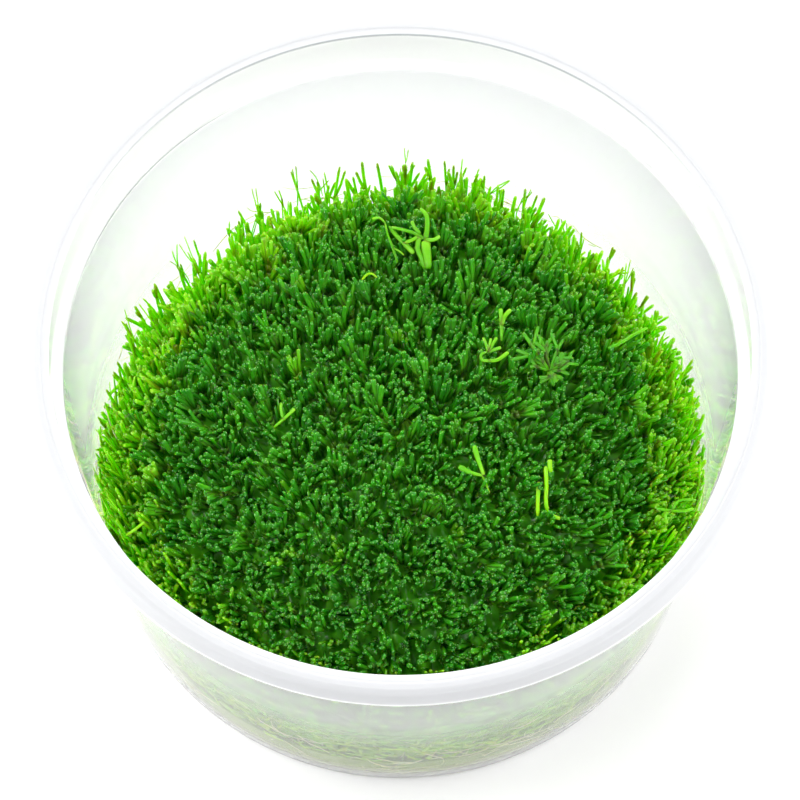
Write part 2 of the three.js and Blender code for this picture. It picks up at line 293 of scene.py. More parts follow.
def mixed(material, share, first, second):
    """A share of the second colour in the first."""
    colours = {0: share, 6: first, 7: second}
    return add(material, "ShaderNodeMix", colours, data_type="RGBA").outputs[2]


def worked_out(material, operation, *values):
    """Values joined one after another by a sum such as MULTIPLY or MAXIMUM."""
    total = values[0]
    for value in values[1:]:
        total = add(material, "ShaderNodeMath", {0: total, 1: value}, operation=operation).outputs[0]
    return total


def place_of(material):
    """The place on the object in metres, and its height."""
    place = add(material, "ShaderNodeTexCoord").outputs["Object"]
    return place, add(material, "ShaderNodeSeparateXYZ", {"Vector": place}).outputs["Z"]


def side_towards(material, place, way, start, end):
    """Rises from 0 to 1 between two distances in mm from the axis towards one side."""
    along = add(material, "ShaderNodeVectorMath", {0: place, 1: way}, operation="DOT_PRODUCT")
    return rising(material, along.outputs["Value"], start, end)


def painted_edge_shades(material, place, height, radius):
    """Painted shade: thin grey lines at two sharp edges, the lip's at the back and the ledge's back
    left, standing in for the refraction that darkens those edges.
    """
    back, back_left = (0, 1, 0), (-0.79, 0.61, 0)
    line = [(0.1, 0.0), (0.4, 1.0), (0.6, 1.0), (0.9, 0.0)]
    across_lip = rising(material, radius, LIP_INNER_RADIUS - 0.13, LIP_INNER_RADIUS + 0.23)
    up_ledge = rising(material, height, LEDGE_Z - 0.6, LEDGE_Z)
    lip_shade_line = worked_out(
        material,
        "MULTIPLY",
        ramp(material, across_lip, line),
        rising(material, height, CUP_HEIGHT - 0.6, CUP_HEIGHT - 0.4),
        side_towards(material, place, back, 15, 40),
    )
    ledge_shade_line = worked_out(
        material,
        "MULTIPLY",
        ramp(material, up_ledge, line),
        rising(material, radius, LEDGE_RADIUS + 0.45, LEDGE_RADIUS + 0.25),
        side_towards(material, place, back_left, 41.5, 44),
    )
    return worked_out(material, "MAXIMUM", lip_shade_line, ledge_shade_line)


def milky_polypropylene():
    """Polypropylene, injection moulded: clear low down, hazier upwards, white and satin in the rim.

    Its index is set below the dry plastic's 1.49, because the inner face is wet."""
    material = new_material("milky_polypropylene")
    place, height = place_of(material)
    flat = add(material, "ShaderNodeVectorMath", {0: place, 1: (1, 1, 0)}, operation="MULTIPLY")
    length = add(material, "ShaderNodeVectorMath", {0: flat.outputs[0]}, operation="LENGTH")
    radius = length.outputs["Value"]
    rise = rising(material, height, 0, LEDGE_Z)
    clear_wall = ramp(
        material,
        rise,
        [
            (0.02, 0.55),
            (0.09, 0.88),
            (0.14, 0.99),
            (0.34, 0.99),
            (0.6, 0.8),
            (0.98, 0.8),
            (1.0, 0.35),
        ],
    )
    outside = rising(material, radius, LIP_INNER_RADIUS + WALL, LIP_INNER_RADIUS + 1.5 * WALL)
    top = rising(material, height, CUP_HEIGHT - 0.4, CUP_HEIGHT - 0.1)
    rim = worked_out(material, "MAXIMUM", outside, top)
    # Painted highlight: the lowest 0.3 mm of the skirt is white, a bright line along its lower edge;
    # above it the rim is grey.
    above_painted_highlight = rising(material, height, SKIRT_Z + 0.3, SKIRT_Z + 0.6)
    rim_colour = ramp(material, above_painted_highlight, [(0.0, "#ffffff"), (1.0, "#cfd0d2")])
    # The wall greys towards the ledge. The white stop at the top colours the ledge and the lip's inner
    # slope: painted light that makes the slope, which gets less light than the lip's grey top, look as
    # bright.
    wall_colour = ramp(material, rise, [(0.6, "#fcfdfc"), (0.97, "#dedfe0"), (1.0, "#ffffff")])
    plastic = mixed(material, rim, wall_colour, rim_colour)
    painted_edge_lines = painted_edge_shades(material, place, height, radius)
    shader = add(
        material,
        "ShaderNodeBsdfPrincipled",
        {
            # The grey #a6aaac is painted shade along the lip's and the ledge's edges.
            "Base Color": mixed(material, painted_edge_lines, plastic, linear("#a6aaac")),
            "Roughness": mapped(material, rim, 0.0, 1.0, to=(0.02, 0.38)),
            "IOR": 1.25,
            "Transmission Weight": add(
                material, "ShaderNodeMix", {0: rim, 2: clear_wall, 3: 0.15}
            ).outputs[0],
            "Subsurface Weight": 1.0,
            "Subsurface Radius": (1.0, 1.0, 1.0),
            "Subsurface Scale": 1.2 * MM,
        },
    )
    return finish_material(material, shader)


def nutrient_gel():
    """Agar gel, poured: wet and cloudy, straw-coloured, and green at the top, where it is fed on."""
    material = new_material("nutrient_gel")
    place, height = place_of(material)
    clouds = {"Vector": place, "Scale": 1 / (CLOUD_SIZE * MM), "Detail": 4.0}
    cloud = add(material, "ShaderNodeTexNoise", clouds)
    rise = mapped(material, height, 1.5 * MM, GEL_TOP * MM, to=(-0.4, 0.6))
    greened = worked_out(material, "ADD", cloud.outputs["Fac"], rise)
    shader = add(
        material,
        "ShaderNodeBsdfPrincipled",
        {
            "Base Color": ramp(
                material,
                greened,
                [(0.15, "#e8f2a8"), (0.4, "#c8dc6c"), (0.65, "#a0c040"), (1.0, "#8cac2c")],
            ),
            "Roughness": 0.12,
            "IOR": 1.34,
            "Specular IOR Level": 0.1,
            "Transmission Weight": 0.3,
            "Subsurface Weight": 1.0,
            "Subsurface Radius": (1.0, 1.0, 0.8),
            "Subsurface Scale": 2 * MM,
        },
    )
    return finish_material(material, shader)


# Colours of living tissue, by how far below its tip it is as a share of STRAW_DEPTH. The inner and
# margin colours grow lighter downwards, partly as older tissue pales towards straw and partly as
# painted light that offsets the shade deep between the lobes; their tips are kept darker against the
# full light they get.
LOOSE_COLOURS = [(0.0, "#80d02c"), (0.08, "#68bc14"), (0.4, "#50a014")]
INNER_COLOURS = [
    (0.0, "#348820"),
    (0.01, "#368c1e"),
    (0.04, "#3e9420"),
    (0.14, "#4ca824"),
    (0.27, "#60bc2c"),
    (0.5, "#78c038"),
    (0.8, "#c8cc92"),
]
MARGIN_COLOURS = [
    (0.0, "#8ccc24"),
    (0.05, "#88dc16"),
    (0.15, "#8cfa10"),
    (0.3, "#82f214"),
    (0.45, "#84d030"),
    (0.65, "#98d42c"),
    (0.86, "#98cc28"),
    (0.94, "#e4ecb0"),
]


def crystalwort_tissue(name, loose):
    """Living liverwort, grown: thin wet tissue, green and then straw-coloured below, with a painted
    highlight on the corners of its tips.

    The meshes carry five layers: below_tip in mm, tone, margin, edge, which holds the painted
    highlight, and browned."""
    material = new_material(name)
    age, tone, margin, edge, browned = (
        add(material, "ShaderNodeAttribute", attribute_name=layer).outputs["Fac"]
        for layer in ("below_tip", "tone", "margin", "edge", "browned")
    )
    depth = mapped(material, age, 0.0, STRAW_DEPTH)
    if loose:
        grown = ramp(material, depth, LOOSE_COLOURS)
    else:
        inner = ramp(material, depth, INNER_COLOURS)
        grown = mixed(material, margin, inner, ramp(material, depth, MARGIN_COLOURS))
    toned = {
        "Hue": mapped(material, tone, -1.0, 1.0, to=(0.508, 0.488)),
        "Value": mapped(material, tone, -1.0, 1.0, to=(0.7, 1.3)),
        "Color": grown,
    }
    shade = add(material, "ShaderNodeHueSaturation", toned).outputs["Color"]
    # Painted highlight: the edge layer lightens the tips' corners and the rims of drawn straps towards
    # #b8f098, standing in for glints off the wet tissue.
    painted_glint_share = mapped(material, edge, 0.4, 1.0, to=(0.0, 0.6))
    shade = mixed(material, painted_glint_share, shade, linear("#b8f098"))
    near_tip = mapped(material, age, 0.4, 2.6, to=(0.85, 0.0))
    brown_share = worked_out(material, "MULTIPLY", near_tip, browned)
    shader = add(
        material,
        "ShaderNodeBsdfPrincipled",
        {
            "Base Color": mixed(material, brown_share, shade, linear("#80761c")),
            "Roughness": 0.2,
            "IOR": 1.42,
            "Specular IOR Level": mapped(material, depth, 0.3, 0.5, to=(0.3, 0.0)),
            "Subsurface Weight": 1.0,
            "Subsurface Radius": (0.3, 0.7, 0.05),
            "Subsurface Scale": 1.4 * MM,
        },
    )
    return finish_material(material, shader)


def studio_floor():
    """White acrylic sheet, matt."""
    material = new_material("studio_floor")
    shader = add(
        material, "ShaderNodeBsdfPrincipled", {"Base Color": linear("#ececec"), "Roughness": 0.6}
    )
    return finish_material(material, shader)


# Meshes


def new_piece(name, vertices, faces, material, attributes=()):
    """A smooth mesh object. faces is a list of arrays with one row of vertex numbers per face."""
    mesh = bpy.data.meshes.new(name)
    corners = np.concatenate([block.ravel() for block in faces])
    sizes = np.concatenate([np.full(len(block), block.shape[1]) for block in faces])
    mesh.vertices.add(len(vertices))
    mesh.vertices.foreach_set("co", (vertices * MM).astype(np.float32).ravel())
    mesh.loops.add(len(corners))
    mesh.loops.foreach_set("vertex_index", corners.astype(np.int32))
    mesh.polygons.add(len(sizes))
    mesh.polygons.foreach_set("loop_start", (np.cumsum(sizes) - sizes).astype(np.int32))
    mesh.polygons.foreach_set("use_smooth", np.ones(len(sizes), bool))
    mesh.update(calc_edges=True)
    for attribute, values in dict(attributes).items():
        layer = mesh.attributes.new(attribute, "FLOAT", "POINT")
        layer.data.foreach_set("value", values.astype(np.float32))
    mesh.validate()
    mesh.materials.append(material)
    piece = bpy.data.objects.new(name, mesh)
    bpy.context.scene.collection.objects.link(piece)
    return piece


def spin(profile, around):
    """Vertices and faces of a closed profile of (radius, height) spun round the cup's axis."""
    profile = np.array(profile)
    ends = [0, len(profile) - 1]
    ring = profile[1:-1]
    angle = np.arange(around) * 2 * math.pi / around
    rings = np.stack(
        [
            np.outer(np.cos(angle), ring[:, 0]),
            np.outer(np.sin(angle), ring[:, 0]),
            np.tile(ring[:, 1], (around, 1)),
        ],
        axis=-1,
    )
    poles = [[0, 0, profile[end][1]] for end in ends]
    vertices = np.concatenate([rings.reshape(-1, 3), poles])
    count = len(ring)
    here = np.arange(around)[:, None] * count
    there = np.roll(here, -1, axis=0)
    step = np.arange(count - 1)
    quads = np.stack([here + step, there + step, there + step + 1, here + step + 1], axis=-1)
    first, last = around * count, around * count + 1
    fans = [
        np.hstack([np.full_like(here, first), there, here]),
        np.hstack([np.full_like(here, last), here + count - 1, there + count - 1]),
    ]
    return vertices, [quads.reshape(-1, 4), *fans]


def rounded(corners, steps=5, straight=1.55):
    """A profile from (radius, height, fillet) corners, each turned into an arc of that radius.

    A corner stays as it is where half its angle in radians is over straight."""
    places = [np.array(corner[:2], float) for corner in corners]
    path = [places[0]]
    for i in range(1, len(corners) - 1):
        before, corner, after = places[i - 1], places[i], places[i + 1]
        inwards, outwards = unit(before - corner), unit(after - corner)
        half_angle = math.acos(float(np.clip(dot(inwards, outwards)[0], -1, 1))) / 2
        fillet = corners[i][2]
        if fillet == 0 or half_angle > straight:
            path.append(corner)
            continue
        reach = fillet / math.tan(half_angle)
        start, end = corner + inwards * reach, corner + outwards * reach
        for t in np.linspace(0, 1, steps):
            path.append((1 - t) ** 2 * start + 2 * t * (1 - t) * corner + t**2 * end)
    return steadied([*path, places[-1]])


def steadied(path, near=0.2):
    """The profile with points close to the ends of its long runs, which keep their shading flat."""
    steady = [path[0]]
    for before, after in zip(path, path[1:]):
        run = np.linalg.norm(after - before)
        if run > 5 * near:
            steady += [before + (after - before) * part for part in (near / run, 1 - near / run)]
        steady.append(after)
    return steady


def cup_profile():
    """The moulded cup: foot, wall, ledge, lip and skirt, from the axis round to the axis."""
    outer_top = LEDGE_RADIUS + WALL
    lip_under = CUP_HEIGHT - LIP_THICKNESS
    lip_inner_z = CUP_HEIGHT - LIP_STEP
    return rounded(
        [
            (0, PANEL_RISE, 0),
            (FOOT_INNER_RADIUS - PANEL_RISE, PANEL_RISE, 0.6),
            (FOOT_INNER_RADIUS, 0, 0.3),
            (WALL_FOOT_RADIUS - 0.2, 0, CORNER * 0.92),
            (outer_top - 0.06, LEDGE_Z - WALL, 0.5),
            (LEDGE_RADIUS + 2 * WALL, LEDGE_Z, 0.5),
            (LIP_INNER_RADIUS + WALL, lip_under, 0.5),
            (LIP_OUTER_RADIUS - 0.4, lip_under, 0.4),
            (RIM_RADIUS - WALL, SKIRT_Z, 0.15),
            (RIM_RADIUS, SKIRT_Z, 0.25),
            (LIP_OUTER_RADIUS + 0.5, CUP_HEIGHT - 0.35, 0.7),
            (LIP_OUTER_RADIUS - 0.2, CUP_HEIGHT, 0.4),
            (LIP_STEP_RADIUS + 0.2, CUP_HEIGHT, 0.1),
            (LIP_STEP_RADIUS, lip_inner_z, 0.1),
            (LIP_INNER_RADIUS, lip_inner_z, 0.3),
            (LEDGE_RADIUS + WALL, LEDGE_Z + 0.3, 0.7),
            (LEDGE_RADIUS, LEDGE_Z, 0.4),
            (WALL_FOOT_RADIUS - WALL, WALL, (CORNER - WALL) * 0.92),
            (FOOT_INNER_RADIUS + 0.4, WALL, 0.3),
            (FOOT_INNER_RADIUS - 0.4, PANEL_RISE + WALL, 0.3),
            (0, PANEL_RISE + WALL, 0),
        ]
    )


def gel_profile():
    """The gel, which follows the foot of the cup and climbs its wall in a small meniscus."""
    clear = GAP
    side = WALL_FOOT_RADIUS - WALL - clear
    return rounded(
        [
            (0, PANEL_RISE + WALL + clear, 0),
            (FOOT_INNER_RADIUS - 0.4, PANEL_RISE + WALL + clear, 0.3),
            (FOOT_INNER_RADIUS + 0.4, WALL + clear, 0.3),
            (side, WALL + clear, (CORNER - WALL) * 0.92),
            (inner_wall(GEL_TOP + 0.25) - clear, GEL_TOP + 0.25, 0.1),
            (inner_wall(GEL_TOP) - 1.2, GEL_TOP - 0.3, 0.8),
            (0, GEL_TOP - 0.35, 0),
        ]
    )


def make_cup():
    vertices, faces = spin(cup_profile(), CUP_FACETS)
    cup = new_piece("culture_cup", vertices, faces, milky_polypropylene())
    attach(cup, "root")
    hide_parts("cup")


def make_gel():
    vertices, faces = spin(gel_profile(), GEL_FACETS)
    gel = new_piece("nutrient_gel", vertices, faces, nutrient_gel())
    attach(gel, "root")
    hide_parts("growing_gel")


# Lobes: straps drawn along paths, many at a time


def grow(start, heading, end_heading, length, steps):
    """Paths (n, steps, 3) that leave start along heading and turn to end_heading over a length."""
    t = (np.arange(steps - 1) + 0.5) / (steps - 1)
    headings = unit(heading[:, None] * (1 - t)[:, None] + end_heading[:, None] * t[:, None])
    stride = headings * (length / (steps - 1))[:, None, None]
    return np.concatenate([start[:, None], start[:, None] + np.cumsum(stride, axis=1)], axis=1)


def straps(path, across, half_width, half_thickness, sides, dimple=0.0):
    """Closed flattened tubes along paths (n, k, 3): vertices (n, k * sides + 2, 3) and faces.

    dimple sinks the middle of the tip, as a growing crystalwort tip is notched."""
    n, k, _ = path.shape
    heading = unit(np.gradient(path, axis=1))
    width_way = unit(across[:, None] - dot(across[:, None], heading) * heading)
    thick_way = np.cross(heading, width_way)
    angle = np.arange(sides) * 2 * math.pi / sides
    ring = (
        path[:, :, None]
        + (half_width[..., None] * np.cos(angle))[..., None] * width_way[:, :, None]
        + (half_thickness[..., None] * np.sin(angle))[..., None] * thick_way[:, :, None]
    )
    tip = path[:, -1] - heading[:, -1] * dimple
    vertices = np.concatenate([ring.reshape(n, -1, 3), path[:, :1], tip[:, None]], axis=1)
    j = np.arange(sides)
    after = (j + 1) % sides
    row = np.arange(k - 1)[:, None] * sides
    quads = np.stack([row + j, row + after, row + sides + after, row + sides + j], axis=-1)
    low, high = k * sides, k * sides + 1
    fans = np.concatenate(
        [
            np.stack([np.full(sides, low), after, j], axis=-1),
            np.stack([np.full(sides, high), (k - 1) * sides + j, (k - 1) * sides + after], axis=-1),
        ]
    )
    first = (np.arange(n) * (k * sides + 2))[:, None, None]
    return vertices, (first + quads.reshape(1, -1, 4)), (first + fans[None])


class Growth:
    """Collects straps for one material and parts them by clump into meshes."""

    def __init__(self):
        self.batches = []
        self.sheets = []

    def add(self, path, across, widths, thickness, clump, layers, sides, dimple=0.0, rim=0.0):
        """layers holds below_tip (n, k) in mm, tone and margin (n,), and browned (n,) or nothing."""
        n, k, _ = path.shape
        vertices, quads, fans = straps(path, across, widths, thickness, sides, dimple)
        below_tip, tone, margin, browned = (*layers, np.zeros(n))[:4]
        age = np.repeat(below_tip, sides, axis=1)
        age = np.concatenate([age, below_tip[:, :1], below_tip[:, -1:] + dimple * 2], axis=1)
        # edge is painted highlight: full on the corners of the tip's ring, where glints stand, and rim
        # times cos² along the rest of a strap.
        edge = np.cos(np.arange(sides) * 2 * math.pi / sides) ** 2
        edge = np.tile(np.concatenate([np.tile(edge * rim, k - 1), edge, [0, 0]]), (n, 1))
        self.batches.append((vertices, quads, fans, age, edge, tone, margin, browned, clump))

    def add_sheet(self, points, quads, below_tip, tone, margin, clump):
        """A sheet of quads, each of one clump. Its layers have a value per point."""
        self.sheets.append((points, quads, below_tip, tone, margin, clump))

    def mesh_of(self, number):
        """Vertices, faces and attributes of the straps of one clump."""
        vertices, quads, fans = [], [], []
        ages, edges, tones, margins, browns = [], [], [], [], []
        start = 0
        for points, four, age, tone, margin, clump in self.sheets:
            used, corners = np.unique(four[clump == number], return_inverse=True)
            vertices.append(points[used])
            quads.append(corners.reshape(-1, 4) + start)
            ages.append(age[used])
            edges.append(np.zeros(len(used)))
            tones.append(tone[used])
            margins.append(margin[used])
            browns.append(np.zeros(len(used)))
            start += len(used)
        for points, four, three, age, edge, tone, margin, browned, clump in self.batches:
            mine = np.flatnonzero(clump == number)
            if not len(mine):
                continue
            per = points.shape[1]
            shift = (start + (np.arange(len(mine)) - mine) * per)[:, None, None]
            vertices.append(points[mine].reshape(-1, 3))
            quads.append((four[mine] + shift).reshape(-1, 4))
            fans.append((three[mine] + shift).reshape(-1, 3))
            ages.append(age[mine].ravel())
            edges.append(edge[mine].ravel())
            tones.append(np.repeat(tone[mine], per))
            margins.append(np.repeat(margin[mine], per))
            browns.append(np.repeat(browned[mine], per))
            start += len(mine) * per
        attributes = {
            "below_tip": np.concatenate(ages),
            "edge": np.concatenate(edges),
            "tone": np.concatenate(tones),
            "margin": np.concatenate(margins),
            "browned": np.concatenate(browns),
        }
        return np.concatenate(vertices), [np.concatenate(quads), np.concatenate(fans)], attributes


def keep_in_cup(path, clear):
    """Bends paths that would pass through the wall so that they run up along it."""
    radius = np.hypot(path[..., 0], path[..., 1])
    most = inner_wall(path[..., 2]) - 0.1 - clear
    scale = np.minimum(1, most / np.maximum(radius, 1e-6))
    bent = path.copy()
    bent[..., :2] *= scale[..., None]
    return bent


def turned(heading, across, angle):
    """Headings turned by an angle in the plane that across lies in."""
    return unit(heading * np.cos(angle)[:, None] + across * np.sin(angle)[:, None])


def scatter(n, spread):
    return draw.normal(0, spread, n)


def between(values, least, most):
    return np.clip(values, least, most)


def lean_at(x, y, margin):
    """How far lobes lean from upright, as a horizontal vector: outwards, in wandering tufts."""
    n = len(x)
    radius = np.hypot(x, y)
    outwards = radius / REFERENCE_RADIUS
    amount = 0.55 * outwards * (1 - margin) + 0.22 * margin
    lean = np.stack([x, y], axis=-1) / np.maximum(radius, 1)[:, None] * amount[:, None]
    tufts = np.stack([ripple(x, y, 6, 11), ripple(x, y, 6, 12)], axis=-1)
    return lean + 0.28 * tufts + draw.normal(0, 0.1, (n, 2))


def fan_turn(x, y):
    """The way the fans of the thalli face: much the same as their neighbours'."""
    return 1.6 * ripple(x, y, 9, 14) + draw.normal(0, 0.5, len(x))


def nearest_clump(x, y):
    seeds = sunflower(len(CLUMPS), REFERENCE_RADIUS / math.sqrt(len(CLUMPS)))
    gaps = (x[:, None] - seeds[:, 0]) ** 2 + (y[:, None] - seeds[:, 1]) ** 2
    return np.argmin(gaps, axis=1)


def scattered_places(spacing, jitter):
    """Places of plants over the cushion, with how far out each is (1 at the outline)."""
    count = int((REFERENCE_RADIUS / spacing) ** 2)
    places = sunflower(count, spacing) + draw.normal(0, jitter, (count, 2))
    x, y = places.T
    outwards = np.hypot(x, y) / outline_radius(np.arctan2(y, x))
    kept = outwards < 1
    return x[kept], y[kept], outwards[kept]


def at_height(x, y, z):
    """Points over the reference disc, widened as the cup widens."""
    scale = (inner_wall(z) - GAP) / REFERENCE_RADIUS
    return np.column_stack([x * scale, y * scale, z])


def lime_share(x, y, outwards):
    """How much of the margin's lime a thallus has, from 0 in the middle to 1 at the wall."""
    # The shifts round the cup are painted light and shade.
    half = LIME_FROM + bumps(np.arctan2(y, x), LIME_LIGHT_AND_SHADE_SHIFTS)
    return between((outwards - half) / 0.16 + 0.5 + 0.3 * ripple(x, y, 6, 5), 0, 1)


def side_fall(x, y, outwards):
    """How much lower than the blades of the margin the mass of thalli stands near the wall."""
    most = SIDE_FALL + bumps(np.arctan2(y, x), FALL_SHIFTS)
    return most * between((outwards - 0.8) / 0.18, 0, 1) ** 1.3


def grow_thalli(growth):
    """Thalli that rise from the gel and fork into hands of lobes: the top of the cushion."""
    x, y, outwards = scattered_places(THALLUS_SPACING, jitter=0.42)
    n = len(x)
    clump = nearest_clump(x, y)
    margin = lime_share(x, y, outwards)
    edge = between((outwards - EDGE_FROM) / 0.1, 0, 1)
    # The 0.004 * y term is painted shade and light: thalli darker towards the front and lighter
    # towards the back, as the light falls on them; the rest of the tone is random.
    tone = between(0.4 * ripple(x, y, 9, 8) + scatter(n, 0.35) + 0.004 * y, -1, 1)
    crown = CROWN_HEIGHT + 1.2 * margin + 2.5 * edge + scatter(n, 0.5)
    uneven = 0.9 * ripple(x, y, 6, 9) + 0.8 * ripple(x, y, 2.6, 10) + scatter(n, 0.5)
    top = tip_height(x, y) + uneven - side_fall(x, y, outwards)
    lean = lean_at(x, y, margin)
    heading = unit(np.column_stack([lean, np.ones(n)]))
    turn = fan_turn(x, y)
    level = np.column_stack([np.cos(turn), np.sin(turn), np.zeros(n)])
    across = unit(level - dot(level, heading) * heading)

    neck_z = top - crown * heading[:, 2]
    neck = at_height(x, y, neck_z)
    neck[:, :2] -= heading[:, :2] * (crown * 0.55)[:, None]
    foot = np.column_stack([x * 0.965, y * 0.965, np.full(n, GEL_TOP - 0.2)])
    size = 1 + scatter(n, 0.1)
    lime = (draw.uniform(0, 1, n) < 0.03) * draw.uniform(0.2, 0.6, n)
    marks = (np.maximum(margin, lime), tone, clump, size, crown)

    stalk = np.stack([foot, foot * 0.5 + neck * 0.5 + draw.normal(0, 0.5, (n, 3)), neck], axis=1)
    stalk = keep_in_cup(stalk, LOBE_HALF_WIDTH)
    below = np.stack([top - foot[:, 2], (top - foot[:, 2]) * 0.6, crown], axis=1)
    wide = LOBE_HALF_WIDTH * np.tile([0.7, 0.8, 1.0], (n, 1))
    seen = outwards > EDGE_FROM
    wide, ways = wide[seen], across[seen]
    layers = (below[seen], tone[seen], margin[seen])
    growth.add(stalk[seen], ways, wide, wide * 0.6, clump[seen], layers, sides=3)
    grow_fork(growth, 0, neck, heading, across, np.ones(n, bool), marks)


def grow_fork(growth, level, start, heading, across, alive, marks):
    """Both arms of a fork of every thallus that is alive there, and all that the arms carry."""
    margin, tone, clump, size, crown = marks
    share, opening, twist = FORKS[level]
    n = len(start)
    for side in (-1, 1):
        angle = side * np.radians(opening * draw.uniform(0.6, 1.4, n))
        leaving = unit(turned(heading, across, angle) + draw.normal(0, 0.04, (n, 3)))
        path = grow(start, leaving, leaving, crown * share, steps=2)
        path = keep_in_cup(path, LOBE_HALF_WIDTH)
        rest = crown * (1 - share * (level + 1))
        below = np.stack([rest + crown * share, rest], axis=1)
        some = np.flatnonzero(alive)
        wide = (LOBE_HALF_WIDTH * size[some])[:, None] * np.array([1.0, 1.05])
        layers = (below[some], tone[some], margin[some])
        growth.add(path[some], across[some], wide, wide * 0.7, clump[some], layers, sides=4)
        twisted = unit(turned(across, np.cross(leaving, across), np.radians(scatter(n, twist))))
        if level + 1 < len(FORKS):
            grow_fork(growth, level + 1, path[:, 1], leaving, twisted, alive, marks)
        else:
            grow_last_lobes(growth, path[:, 1], leaving, twisted, rest, alive, marks)


def grow_last_lobes(growth, start, heading, across, rest, alive, marks):
    """One or two lobes at the end of an arm: fingers with a round, slightly notched tip."""
    margin, tone, clump, size, _ = marks
    n = len(start)
    forked = draw.uniform(0, 1, n) < 0.55
    along = np.array([0, 0.55, 0.93, 1.0])
    for branch in (-1, 1):
        some = np.flatnonzero(alive & forked) if branch == 1 else np.flatnonzero(alive)
        opening = branch * np.radians(LAST_FORK * draw.uniform(0.6, 1.5, n)) * forked
        long = rest * draw.uniform(0.6, 1.2, n)
        went = unit(turned(heading, across, opening) + draw.normal(0, 0.05, (n, 3)))
        ending = unit(went + draw.normal(0, 0.12, (n, 3)) + [0, 0, 0.12])
        bend = unit(went + ending)
        path = start[:, None] + (along * long[:, None])[..., None] * bend[:, None]
        path[:, 1] += (went - ending) * (0.12 * long)[:, None]
        path = keep_in_cup(path, LOBE_HALF_WIDTH)
        lobe_size = (size * (1 + scatter(n, 0.1)))[some, None]
        wide = LOBE_HALF_WIDTH * lobe_size * np.array([0.85, 0.95, 1.0, 0.8])
        thick = LOBE_HALF_THICKNESS * lobe_size * np.array([1.0, 1.0, 1.0, 0.65])
        below = long[:, None] * (1 - along)
        lobe_tone = between(tone + scatter(n, 0.25), -1, 1)
        layers = (below[some], lobe_tone[some], margin[some])
        lobes = (path[some], across[some], wide, thick, clump[some], layers)
        growth.add(*lobes, sides=6, dimple=TIP_NOTCH)


def grow_old_growth(growth):
    """The mat of older growth under the lobes: over the top of the cushion and down its side."""
    around, over, down = 240, 44, 22
    angle = np.arange(around) * 2 * math.pi / around
    outwards = np.concatenate([np.linspace(0, 1, over), np.ones(down)])
    fall = np.concatenate([np.zeros(over), np.linspace(0, 1, down + 1)[1:]])
    radius = (outline_radius(angle) - MAT_INSET)[:, None] * outwards + 1.6 * fall
    x, y = radius * np.cos(angle)[:, None], radius * np.sin(angle)[:, None]
    top = tip_height(x, y) - MAT_DEPTH - 3 * between((outwards - 0.76) / 0.24, 0, 1)
    top -= side_fall(x, y, outwards)
    z = top + (GEL_TOP - 0.4 - top) * fall
    lumps = ripple(x, y, 2.6, 31) + 0.6 * draw.normal(0, 1, x.shape)
    dents = ripple(angle[:, None] * 42, z, 3.2, 32) + 0.8 * draw.normal(0, 1, x.shape)
    z = z + 0.9 * lumps * (fall == 0)
    inset = 1 - 0.012 * between(dents, -1, 2) * (outwards == 1)
    points = at_height((x * inset).ravel(), (y * inset).ravel(), z.ravel())
    row = np.arange(around)[:, None] * (over + down)
    here = (row + np.arange(over + down - 1)).ravel()
    there = (np.roll(row, -1, axis=0) + np.arange(over + down - 1)).ravel()
    quads = np.stack([here, here + 1, there + 1, there], axis=-1)
    below = np.where(fall > 0, np.minimum(6.0 + (top - z), DEEPEST_GREEN), 4.0).ravel()
    tone = between(0.35 * lumps - 0.4 + (0.2 + 0.3 * dents) * (fall > 0), -1, 1).ravel()
    margin = lime_share(x.ravel(), y.ravel(), (outwards * np.ones_like(x)).ravel())
    growth.add_sheet(points, quads, below, tone, margin, nearest_clump(x.ravel(), y.ravel())[here])


def grow_understorey(growth):
    """Shorter lobes between the thalli, which never reach the light."""
    x, y, outwards = scattered_places(spacing=0.8, jitter=0.4)
    n = len(x)
    margin = lime_share(x, y, outwards)
    top = tip_height(x, y) - draw.uniform(0.9, 3.4, n) - side_fall(x, y, outwards)
    heading = unit(np.column_stack([lean_at(x, y, margin), np.ones(n)]))
    long = draw.uniform(3, 5, n)
    start = at_height(x, y, top - long)
    turn = fan_turn(x, y)
    across = np.column_stack([np.cos(turn), np.sin(turn), np.zeros(n)])
    path = keep_in_cup(grow(start, heading, heading, long, steps=3), LOBE_HALF_WIDTH)
    wide = LOBE_HALF_WIDTH * np.tile([0.8, 1.0, 0.7], (n, 1))
    below = long[:, None] * np.array([1, 0.5, 0])
    tone = between(scatter(n, 0.4), -1, 1)
    layers = (below + 0.6, tone, margin)
    growth.add(path, across, wide, wide * 0.7, nearest_clump(x, y), layers, sides=4)


def grow_margin(growth):
    """Long lobes that stand up along the wall of the cup round the cushion, most of them forked."""
    grow_blades(growth, n=700, rise=2.0, halves=(0.22, 0.36), bend=0.15, innermost=0.82)
    grow_blades(growth, n=80, rise=4.2, halves=(0.11, 0.16), bend=0.4, innermost=0.95)


